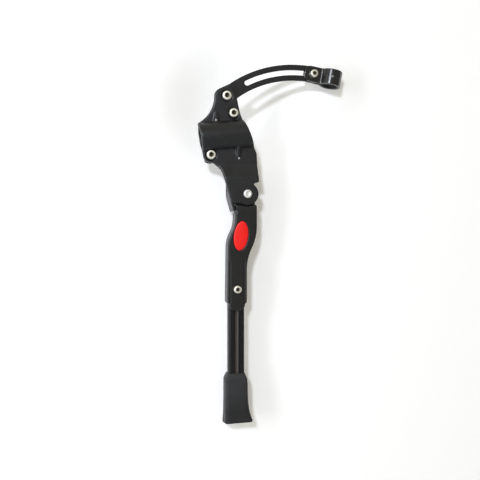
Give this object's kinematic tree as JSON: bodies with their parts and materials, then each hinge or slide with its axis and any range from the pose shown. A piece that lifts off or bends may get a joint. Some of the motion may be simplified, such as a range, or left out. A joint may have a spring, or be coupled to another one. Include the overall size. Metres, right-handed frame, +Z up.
{
  "type": "bicycle kickstand",
  "caption": "Rear-mount bicycle kickstand: a cast clamp for the chain stay, a slotted arm with a hoop for the seat stay, and a folding leg with a sliding rod and rubber foot.",
  "frame": {"origin": "middle of the chain stay's bore, on its axis and between the two halves of the clamp", "axes": "+X to the rear of the bicycle, +Y towards the wheel, +Z up; the chain stay rises 6 degrees to +X"},
  "size_m": [0.166, 0.0378, 0.3991],
  "materials": {
    "bracket_coat": "satin black powder coat on cast alloy",
    "leg_coat": "satin black powder coat on cast alloy",
    "arm_coat": "semi-gloss black paint on steel bar",
    "hoop_coat": "gloss black paint on steel strip",
    "rod_coat": "black anodised extrusion",
    "zinc": "zinc plated steel",
    "rivet_steel": "bright steel",
    "spring_steel": "oiled spring wire",
    "rubber": "matte moulded rubber",
    "oval_red": "plain gloss red"
  },
  "bodies": {
    "bracket": {"front_bracket": "bracket_coat", "front_stay_pad": "rubber", "arm_bolt": "zinc", "arm_washer": "zinc", "arm_nut": "zinc", "clamp_bolts": "zinc", "pivot_rivet": "rivet_steel", "upper_spring_post": "zinc"},
    "jaw": {"rear_jaw": "bracket_coat", "rear_stay_pad": "rubber", "clamp_nuts": "zinc"},
    "leg": {"upper_leg": "leg_coat", "badge": "oval_red", "lower_spring_post": "zinc", "lock_screw": "zinc"},
    "rod": {"lower_rod": "rod_coat", "foot": "rubber"},
    "arm": {"support_arm": "arm_coat"},
    "hoop_bolt": {"hoop_bolt": "zinc", "hoop_washer": "zinc", "hoop_nut": "zinc"},
    "hoop": {"stay_hoop": "hoop_coat", "hoop_liner": "rubber"},
    "spring": {"leg_spring": "spring_steel"}
  },
  "joints": [
    {"name": "leg_fold", "type": "hinge", "parent": "bracket", "child": "leg", "pos_m": [0.0215, 0, -0.0641], "axis": [0, -1, 0], "range_deg": [0, 96], "deforming": ["leg_spring"]},
    {"name": "spring_turn", "type": "hinge", "parent": "bracket", "child": "spring", "pos_m": [0.00961, 0.0165, -0.05339], "axis": [0, -1, 0], "range_deg": [0, 62]},
    {"name": "rod_slide", "type": "slide", "parent": "leg", "child": "rod", "axis": [0, 0, -1], "range_m": [-0.022, 0.016]},
    {"name": "arm_swing", "type": "hinge", "parent": "bracket", "child": "arm", "pos_m": [-0.001, 0, 0.0428], "axis": [0, -1, 0], "range_deg": [-40, 60]},
    {"name": "hoop_travel", "type": "hinge", "parent": "arm", "child": "hoop_bolt", "pos_m": [0.08, 0, -0.05], "axis": [0, -1, 0], "range_deg": [0, 8.5]},
    {"name": "hoop_swivel", "type": "hinge", "parent": "hoop_bolt", "child": "hoop", "pos_m": [0.09842, 0, 0.07179], "axis": [0, -1, 0], "range_deg": [-90, 90]},
    {"name": "jaw_slide", "type": "slide", "parent": "bracket", "child": "jaw", "axis": [0, 1, 0], "range_m": [-0.001, 0.005]}
  ],
  "couplings": [
    {"joint": "spring_turn", "follows": "leg_fold", "ratio": 0.644}
  ]
}
